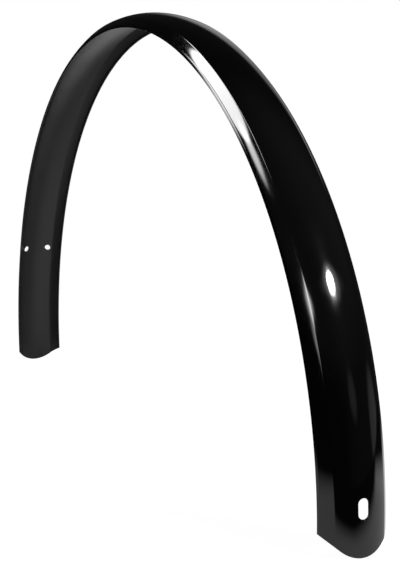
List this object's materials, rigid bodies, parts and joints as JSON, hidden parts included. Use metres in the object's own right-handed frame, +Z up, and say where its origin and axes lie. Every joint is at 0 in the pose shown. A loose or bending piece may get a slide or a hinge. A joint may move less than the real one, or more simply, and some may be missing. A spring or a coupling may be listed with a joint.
{
  "type": "bicycle mudguard",
  "caption": "Arched bicycle mudguard blade of folded channel section, with rounded ends, a fixing slot near the front and stay holes near the tail.",
  "frame": {"origin": "centre of the fixing slot, on the blade's outer face at the crown's middle", "axes": "+X points forward, straight out of the slot, +Y runs across the blade to the bicycle's left, +Z points up. The wheel's axle is parallel to Y and crosses the X axis 368.2 mm behind the origin"},
  "size_m": [0.7363, 0.0564, 0.3992],
  "materials": {
    "blade": "high gloss black on the outer face, plain matt dark grey on the inner face"
  },
  "bodies": {
    "root": {"mudguard_blade": "blade"}
  },
  "joints": []
}
